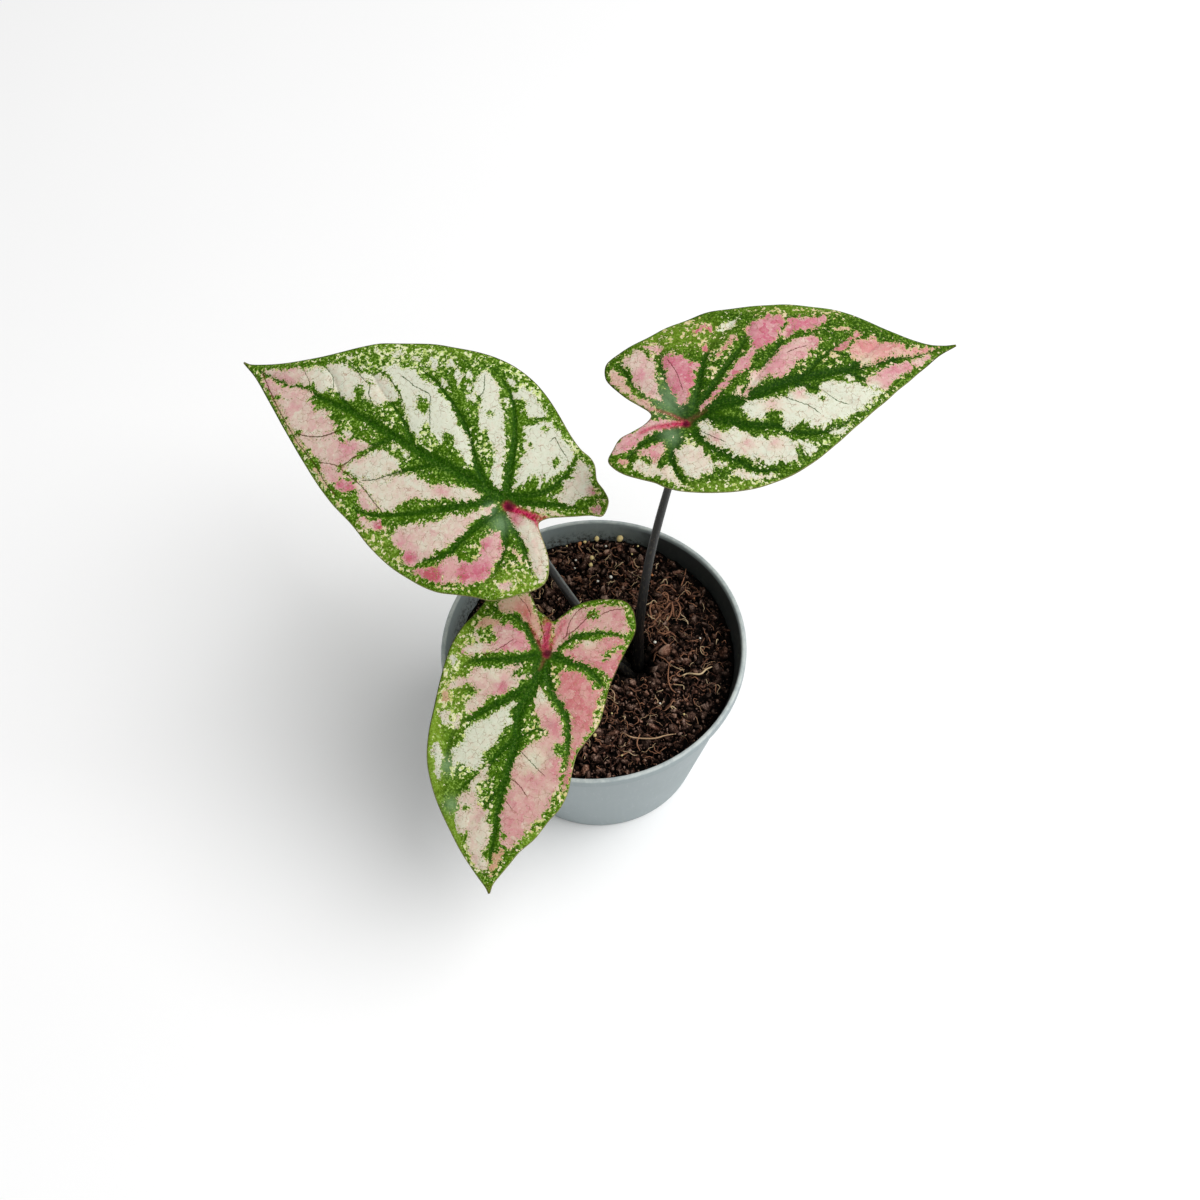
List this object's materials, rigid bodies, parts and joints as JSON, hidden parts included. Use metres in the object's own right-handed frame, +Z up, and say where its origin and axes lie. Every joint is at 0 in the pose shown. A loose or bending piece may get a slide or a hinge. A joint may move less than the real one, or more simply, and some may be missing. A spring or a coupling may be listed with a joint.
{
  "type": "potted caladium",
  "caption": "Small caladium with arrow-shaped, pink and cream mottled leaves on thin dark stalks, growing in a plain round grey plastic pot of dark mix.",
  "frame": {"origin": "middle of the pot's underside, on the surface it stands on", "axes": "+Z up along the pot's axis; -Y towards the side that shows the front leaf; +X towards the right-hand leaf"},
  "size_m": [0.253, 0.1762, 0.1929],
  "materials": {
    "pot_plastic": "matte grey polypropylene with a slight blue-green tone",
    "potting_mix": null,
    "tuber_skin": null,
    "petiole_skin": null,
    "leaf": null
  },
  "bodies": {
    "root": {"pot": "pot_plastic", "potting_mix": "potting_mix", "tuber": "tuber_skin", "petiole_left": "petiole_skin", "petiole_right": "petiole_skin", "petiole_front": "petiole_skin", "blade_left": "leaf", "blade_right": "leaf", "blade_front": "leaf"}
  },
  "joints": []
}
